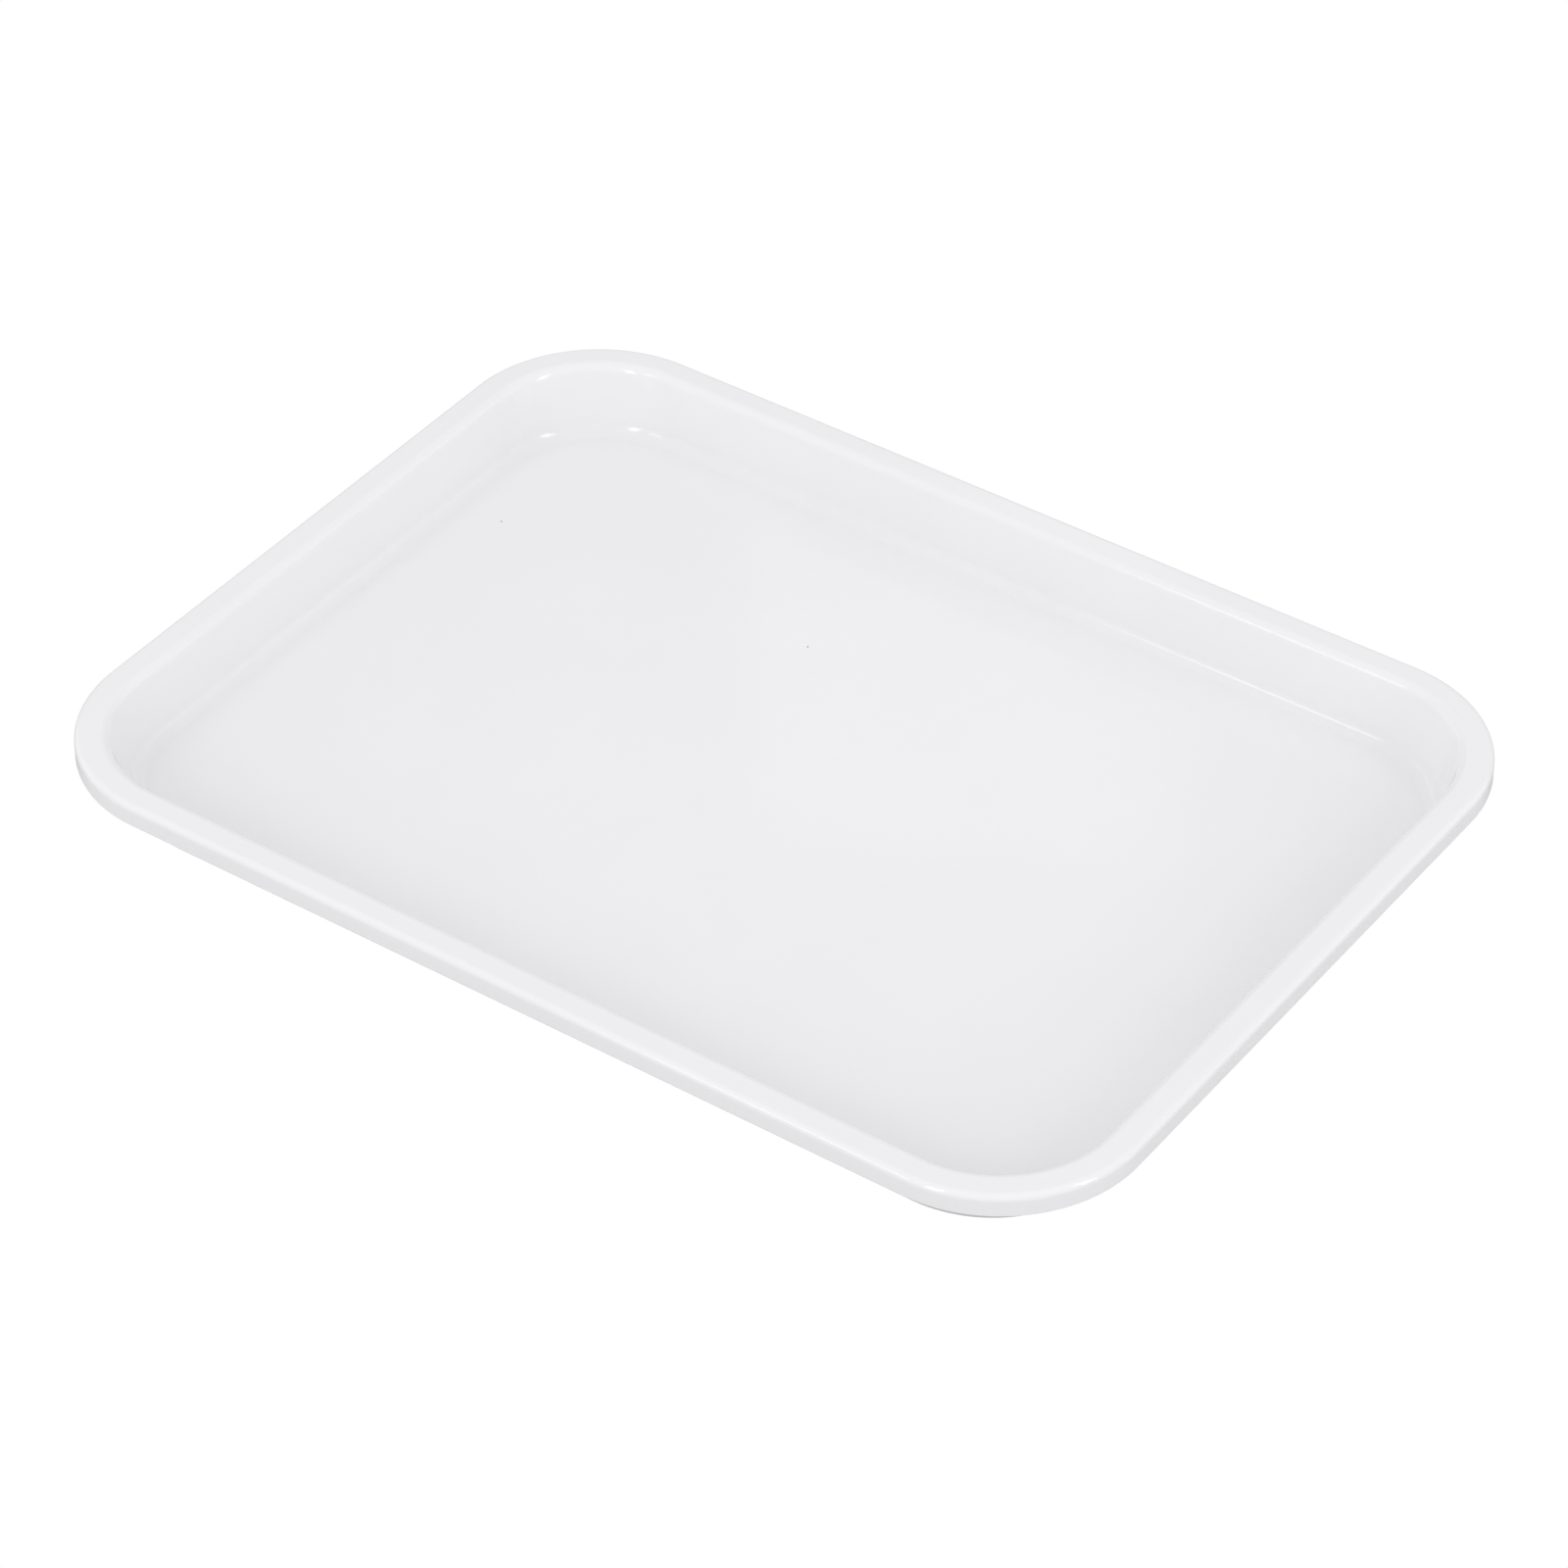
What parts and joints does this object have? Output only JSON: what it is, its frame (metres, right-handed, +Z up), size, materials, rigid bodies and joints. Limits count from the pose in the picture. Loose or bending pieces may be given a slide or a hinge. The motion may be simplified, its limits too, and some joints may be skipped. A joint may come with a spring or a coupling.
{
  "type": "paint roller tray",
  "caption": "Shallow one-piece rectangular paint tray with rounded corners, a turned-down rim, lightly drafted walls and a flat floor.",
  "frame": {"origin": "centre of the flat underside, on the surface that the tray stands on", "axes": "+X along the long side, +Y along the short side, +Z up out of the open well"},
  "size_m": [0.38, 0.285, 0.025],
  "materials": {
    "tray_plastic": "high gloss, cool white, moulded"
  },
  "bodies": {
    "root": {"tray": "tray_plastic"}
  },
  "joints": []
}
